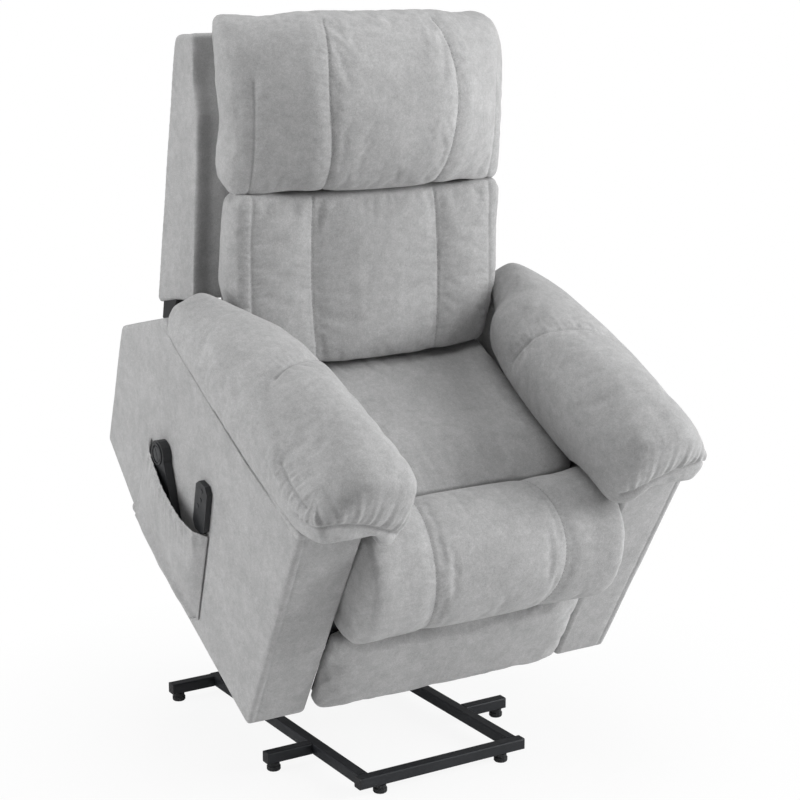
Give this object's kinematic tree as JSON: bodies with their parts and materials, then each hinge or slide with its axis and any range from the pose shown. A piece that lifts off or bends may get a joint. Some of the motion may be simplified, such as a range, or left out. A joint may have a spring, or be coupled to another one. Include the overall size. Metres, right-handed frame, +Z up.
{
  "type": "lift recliner chair",
  "caption": "Lift recliner chair raised and tipped forward on its scissor-link base, with footrest, reclining back, side pocket and handsets.",
  "frame": {"origin": "on the floor, under the middle of the whole chair as it stands raised", "axes": "+Z up, -Y the way the sitter faces, +X to the sitter's left"},
  "size_m": [0.9607, 1.0292, 1.5984],
  "materials": {
    "black_steel": "satin black powder coat",
    "bright_steel": "polished",
    "spring_wire": "drawn wire",
    "black_plastic": "fine texture",
    "button_rubber": "matt",
    "grey_fabric": "brushed suede-like cloth with a mottled nap",
    "lining_cloth": "plain lining cloth",
    "plywood": "unfinished"
  },
  "bodies": {
    "base": {"front_crossbar": "black_steel", "rear_crossbar": "black_steel", "side_rail_right": "black_steel", "middle_outrigger_right": "black_steel", "rear_outrigger_right": "black_steel", "foot_front_right": "black_plastic", "foot_middle_right": "black_plastic", "foot_rear_right": "black_plastic", "lift_bracket_right": "black_steel", "side_rail_left": "black_steel", "middle_outrigger_left": "black_steel", "rear_outrigger_left": "black_steel", "foot_front_left": "black_plastic", "foot_middle_left": "black_plastic", "foot_rear_left": "black_plastic", "lift_bracket_left": "black_steel"},
    "long_links": {"long_link_right": "black_steel", "long_link_left": "black_steel"},
    "short_links": {"short_link_right": "black_steel", "short_link_left": "black_steel"},
    "chassis": {"side_plate_right": "black_steel", "side_plate_left": "black_steel", "front_cross_tube": "black_steel", "rear_cross_tube": "black_steel", "drive_tube": "black_steel", "seat_deck": "plywood", "seat_spring": "spring_wire", "seat_cushion": "grey_fabric", "seat_bolster": "grey_fabric", "side_box_right": "grey_fabric", "side_box_left": "grey_fabric", "arm_pad_right": "grey_fabric", "arm_pad_left": "grey_fabric", "pocket": "grey_fabric"},
    "actuator": {"actuator_housing": "black_plastic"},
    "rod": {"actuator_rod": "bright_steel"},
    "back": {"back_shell": "grey_fabric", "back_core": "lining_cloth", "headrest": "grey_fabric", "lumbar_cushion": "grey_fabric", "back_hinge_right": "black_steel", "back_hinge_left": "black_steel"},
    "drive_links": {"drive_link_right": "black_steel", "drive_link_left": "black_steel"},
    "idler_links": {"idler_link_right": "black_steel", "idler_link_left": "black_steel"},
    "carrier_links": {"carrier_link_right": "black_steel", "carrier_link_left": "black_steel"},
    "control_links": {"control_link_right": "black_steel", "control_link_left": "black_steel"},
    "footrest": {"footrest_board": "black_steel", "footrest_pad": "grey_fabric"},
    "handset": {"lift_handset": "black_plastic"},
    "raise_key": {"raise_button": "button_rubber"},
    "lower_key": {"lower_button": "button_rubber"},
    "remote": {"massage_remote": "black_plastic"},
    "key_1": {"remote_key_1": "button_rubber"},
    "key_2": {"remote_key_2": "button_rubber"},
    "key_3": {"remote_key_3": "button_rubber"}
  },
  "joints": [
    {"name": "lift_long_links", "type": "hinge", "parent": "base", "child": "long_links", "pos_m": [0, 0.4625, 0.2], "axis": [1, 0, 0], "range_deg": [0, 54.52]},
    {"name": "lift_short_links", "type": "hinge", "parent": "base", "child": "short_links", "pos_m": [0, 0.2025, 0.1997], "axis": [1, 0, 0], "range_deg": [0, 66.6]},
    {"name": "chassis_tilt", "type": "hinge", "parent": "long_links", "child": "chassis", "pos_m": [0, 0.1593, 0.42722], "axis": [-1, 0, 0], "range_deg": [0, 83.4]},
    {"name": "actuator_tilt", "type": "hinge", "parent": "base", "child": "actuator", "pos_m": [0, 0.4575, 0.085], "axis": [1, 0, 0], "range_deg": [0, 27.6]},
    {"name": "rod_slide", "type": "slide", "parent": "actuator", "child": "rod", "axis": [0, 0.6646, -0.7472], "range_m": [0, 0.1865]},
    {"name": "back_recline", "type": "hinge", "parent": "chassis", "child": "back", "pos_m": [0, 0.30779, 0.75078], "axis": [-1, 0, 0], "range_deg": [0, 33]},
    {"name": "footrest_drive", "type": "hinge", "parent": "chassis", "child": "drive_links", "pos_m": [0, -0.09063, 0.48952], "axis": [-1, 0, 0], "range_deg": [0, 120.02]},
    {"name": "footrest_idler", "type": "hinge", "parent": "chassis", "child": "idler_links", "pos_m": [0, -0.04478, 0.48312], "axis": [-1, 0, 0], "range_deg": [0, 118.8]},
    {"name": "footrest_carrier", "type": "hinge", "parent": "drive_links", "child": "carrier_links", "pos_m": [0, 0.06331, 0.48537], "axis": [1, 0, 0], "range_deg": [0, 112.9]},
    {"name": "footrest_control", "type": "hinge", "parent": "drive_links", "child": "control_links", "pos_m": [0, 0.09305, 0.45847], "axis": [1, 0, 0], "range_deg": [0, 111.8]},
    {"name": "footrest_panel", "type": "hinge", "parent": "carrier_links", "child": "footrest", "pos_m": [0, -0.2082, 0.39636], "axis": [-1, 0, 0], "range_deg": [0, 78.8]},
    {"name": "handset_slide", "type": "slide", "parent": "chassis", "child": "handset", "axis": [-0.0154, 0.4727, 0.8811], "range_m": [0, 0.1]},
    {"name": "remote_slide", "type": "slide", "parent": "chassis", "child": "remote", "axis": [-0.0276, -0.2721, 0.9619], "range_m": [0, 0.1]},
    {"name": "raise_press", "type": "slide", "parent": "handset", "child": "raise_key", "axis": [0.9996, -0.0136, 0.0248], "range_m": [0, 0.001], "stiffness_N_per_m": 800, "springref_m": -0.001},
    {"name": "lower_press", "type": "slide", "parent": "handset", "child": "lower_key", "axis": [0.9996, -0.0136, 0.0248], "range_m": [0, 0.001], "stiffness_N_per_m": 800, "springref_m": -0.001},
    {"name": "key_1_press", "type": "slide", "parent": "remote", "child": "key_1", "axis": [0.9996, -0.0136, 0.0248], "range_m": [0, 0.001], "stiffness_N_per_m": 600, "springref_m": -0.001},
    {"name": "key_2_press", "type": "slide", "parent": "remote", "child": "key_2", "axis": [0.9996, -0.0136, 0.0248], "range_m": [0, 0.001], "stiffness_N_per_m": 600, "springref_m": -0.001},
    {"name": "key_3_press", "type": "slide", "parent": "remote", "child": "key_3", "axis": [0.9996, -0.0136, 0.0248], "range_m": [0, 0.001], "stiffness_N_per_m": 600, "springref_m": -0.001}
  ],
  "couplings": [
    {"joint": "lift_short_links", "follows": "lift_long_links", "ratio": 1.2198},
    {"joint": "chassis_tilt", "follows": "lift_long_links", "ratio": 1.5283},
    {"joint": "actuator_tilt", "follows": "lift_long_links", "ratio": 0.50552},
    {"joint": "rod_slide", "follows": "lift_long_links", "m_per_rad": 0.19579},
    {"joint": "footrest_idler", "follows": "footrest_drive", "ratio": 0.989},
    {"joint": "footrest_carrier", "follows": "footrest_drive", "ratio": 0.93984},
    {"joint": "footrest_control", "follows": "footrest_drive", "ratio": 0.93043},
    {"joint": "footrest_panel", "follows": "footrest_drive", "ratio": 0.65581}
  ]
}
